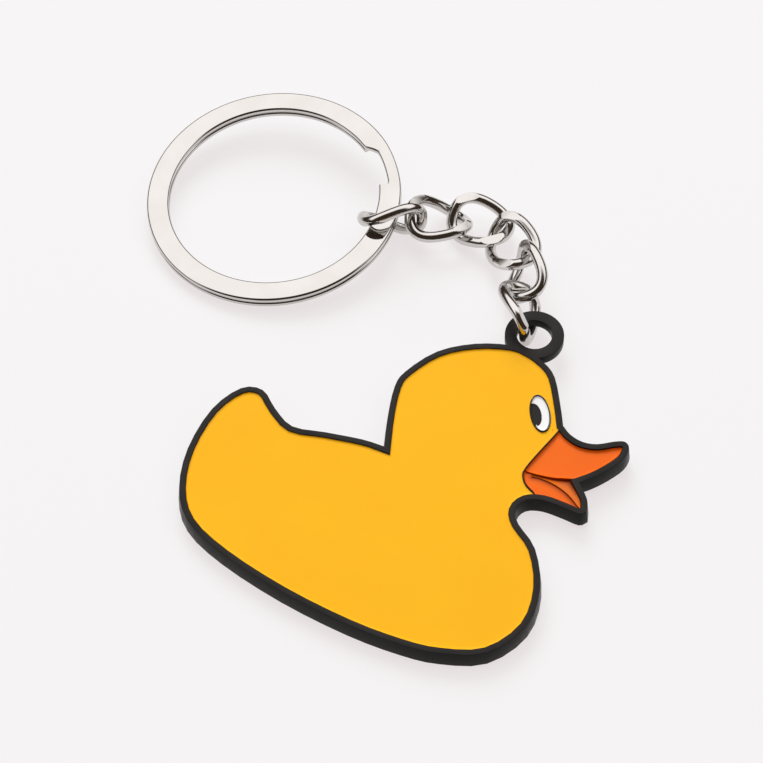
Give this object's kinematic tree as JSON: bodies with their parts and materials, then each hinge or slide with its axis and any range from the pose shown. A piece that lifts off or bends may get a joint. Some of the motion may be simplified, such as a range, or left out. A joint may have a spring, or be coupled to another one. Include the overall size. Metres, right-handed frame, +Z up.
{
  "type": "keychain",
  "caption": "Enamelled rubber-duck charm on a short chain of twisted curb links with a flat split ring, for carrying keys or hanging on a bag.",
  "frame": {"origin": "on the table under the middle of the whole object's box", "axes": "+X along the duck's foot towards the side its bill points to, +Y from its foot to its head, +Z up from the table through the coloured face"},
  "size_m": [0.0704, 0.0596, 0.0063],
  "materials": {
    "black_metal": "satin black plating",
    "yellow_enamel": "glossy enamel",
    "white_enamel": "glossy enamel",
    "black_enamel": "glossy enamel",
    "orange_enamel": "glossy enamel",
    "deep_orange_enamel": "glossy enamel",
    "chain_nickel": "polished nickel plate",
    "ring_nickel": "mirror-polished nickel plate"
  },
  "bodies": {
    "charm": {"charm_plate": "black_metal", "enamel_body": "yellow_enamel", "enamel_eye": "white_enamel", "enamel_pupil": "black_enamel", "enamel_upper_bill": "orange_enamel", "enamel_mouth": "deep_orange_enamel", "enamel_lower_bill": "orange_enamel"},
    "charm_link": {"charm_link": "chain_nickel"},
    "chain_link_4": {"chain_link_4": "chain_nickel"},
    "chain_link_3": {"chain_link_3": "chain_nickel"},
    "chain_link_2": {"chain_link_2": "chain_nickel"},
    "chain_link_1": {"chain_link_1": "chain_nickel"},
    "ring_link": {"ring_link": "chain_nickel"},
    "split_ring": {"split_ring": "ring_nickel"}
  },
  "joints": [
    {"name": "lug_swing", "type": "hinge", "parent": "charm", "child": "charm_link", "pos_m": [0.01528, 0.01316, 0.0017], "axis": [0, 0, 1], "range_deg": [-20, 4]},
    {"name": "link_bend_4", "type": "hinge", "parent": "charm_link", "child": "chain_link_4", "pos_m": [0.0112, 0.01763, 0.00298], "axis": [0, 0, 1], "range_deg": [-30, 4]},
    {"name": "link_bend_3", "type": "hinge", "parent": "chain_link_4", "child": "chain_link_3", "pos_m": [0.00949, 0.02321, 0.0029], "axis": [0, 0, 1], "range_deg": [-16, 4]},
    {"name": "link_bend_2", "type": "hinge", "parent": "chain_link_3", "child": "chain_link_2", "pos_m": [0.00463, 0.0259, 0.00201], "axis": [0, 0, 1], "range_deg": [-18, 2]},
    {"name": "link_bend_1", "type": "hinge", "parent": "chain_link_2", "child": "chain_link_1", "pos_m": [-0.00146, 0.0248, 0.00128], "axis": [0, 0, 1], "range_deg": [-12, 8]},
    {"name": "link_bend_0", "type": "hinge", "parent": "chain_link_1", "child": "ring_link", "pos_m": [-0.00408, 0.02045, 0.00281], "axis": [0, 0, 1], "range_deg": [-10, 8]},
    {"name": "ring_turn", "type": "hinge", "parent": "ring_link", "child": "split_ring", "pos_m": [-0.02023, 0.0148, 0.00239], "axis": [-0.0153, -0.1089, 0.9939], "continuous": true}
  ]
}
